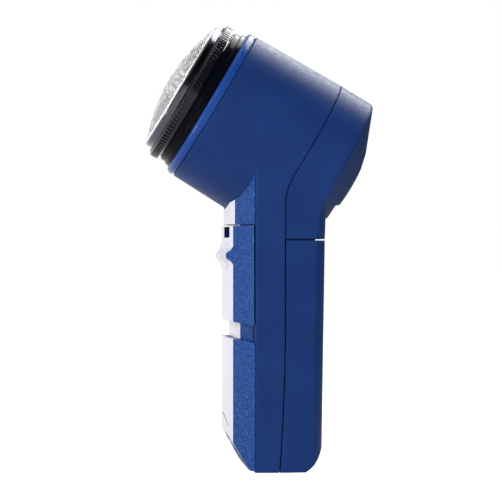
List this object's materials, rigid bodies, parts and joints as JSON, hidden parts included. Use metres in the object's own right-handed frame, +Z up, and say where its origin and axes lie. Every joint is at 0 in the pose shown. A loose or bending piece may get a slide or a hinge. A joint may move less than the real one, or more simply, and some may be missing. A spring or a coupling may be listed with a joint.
{
  "type": "electric shaver",
  "caption": "Small battery shaver with one round domed foil head tilted on a straight handle, a sliding thumb switch on the front and a clip-on battery door at the back.",
  "frame": {"origin": "on the table under the middle of the outline, at the flat base", "axes": "+Z up along the handle, -Y towards the side the foil and the thumb switch face, +X across the width"},
  "size_m": [0.0432, 0.0592, 0.1147],
  "materials": {
    "navy_plastic": "fine satin texture, navy blue",
    "bright_blue": "glossy bright blue",
    "sparkle_blue": "metallic blue paint with fine flakes under clear lacquer",
    "silver_paint": "silver-white pearl paint, satin",
    "black_gloss": "glossy black",
    "black_matt": "matt black",
    "lens_dark": "dark navy, glossy",
    "foil_steel": "thin polished steel with fine holes",
    "rim_steel": "dark polished steel",
    "bright_steel": "bright plated steel",
    "blade_steel": "ground steel",
    "motor_steel": "zinc plated steel",
    "copper": "copper winding",
    "brass": "brass",
    "white_plastic": "off-white moulded plastic",
    "grey_plastic": "grey moulded plastic",
    "cell_jacket": "printed cell jacket, plain dark",
    "magnet": "dark ferrite",
    "felt": "pressed felt",
    "wire_red": "red wire insulation",
    "wire_black": "black wire insulation"
  },
  "bodies": {
    "housing": {"front_shell": "navy_plastic", "rear_housing": "navy_plastic", "rim_ring": "bright_blue", "head_collar": "black_gloss", "panel_base": "sparkle_blue", "panel_base_band": "silver_paint", "top_panel": "sparkle_blue", "top_band": "silver_paint", "lower_panel": "sparkle_blue", "lower_band": "silver_paint", "battery_frame": "grey_plastic", "case_screw_right": "motor_steel", "case_screw_left": "motor_steel", "cell_right": "cell_jacket", "cell_right_nub": "bright_steel", "cell_left": "cell_jacket", "cell_left_nub": "bright_steel", "bridge_plate": "bright_steel", "bridge_spring": "bright_steel", "bridge_stud": "bright_steel", "top_contact_right": "bright_steel", "top_contact_left": "bright_steel", "top_contact_coil": "bright_steel", "switch_strip_right": "brass", "switch_strip_left": "brass", "motor_plate": "white_plastic", "motor_can": "motor_steel", "motor_end_cap": "white_plastic", "motor_magnet_right": "magnet", "motor_magnet_left": "magnet", "motor_tab_right": "brass", "motor_tab_left": "brass", "motor_screw_upper": "motor_steel", "motor_screw_lower": "motor_steel", "motor_lead_right": "wire_red", "motor_lead_left": "wire_black", "shaft_seal": "felt"},
    "switch": {"switch_slider": "sparkle_blue", "switch_band": "silver_paint", "switch_lens_right": "lens_dark", "switch_lens_left": "lens_dark", "switch_bridge": "brass"},
    "door": {"battery_door": "navy_plastic"},
    "spindle": {"motor_shaft": "bright_steel", "motor_rotor": "copper", "motor_commutator": "copper", "drive_coupling": "white_plastic", "cutter_spring": "bright_steel"},
    "cutter": {"cutter_carrier": "black_matt", "cutter_blades": "blade_steel"},
    "foil_frame": {"foil": "foil_steel", "foil_rim": "rim_steel", "ribbed_ring": "black_matt", "foil_retainer": "black_matt"}
  },
  "joints": [
    {"name": "switch_slide", "type": "slide", "parent": "housing", "child": "switch", "axis": [0, 0, -1], "range_m": [0, 0.004]},
    {"name": "door_slide", "type": "slide", "parent": "housing", "child": "door", "axis": [0, 1, 0], "range_m": [0, 0.02]},
    {"name": "spindle_spin", "type": "hinge", "parent": "housing", "child": "spindle", "pos_m": [0, -0.01165, 0.09398], "axis": [0, -0.859, 0.512], "continuous": true},
    {"name": "cutter_float", "type": "slide", "parent": "spindle", "child": "cutter", "axis": [0, 0.859, -0.512], "range_m": [0, 0.0008], "stiffness_N_per_m": 400, "deforming": ["cutter_spring"]},
    {"name": "foil_lift", "type": "slide", "parent": "housing", "child": "foil_frame", "axis": [0, -0.859, 0.512], "range_m": [0, 0.012]}
  ]
}
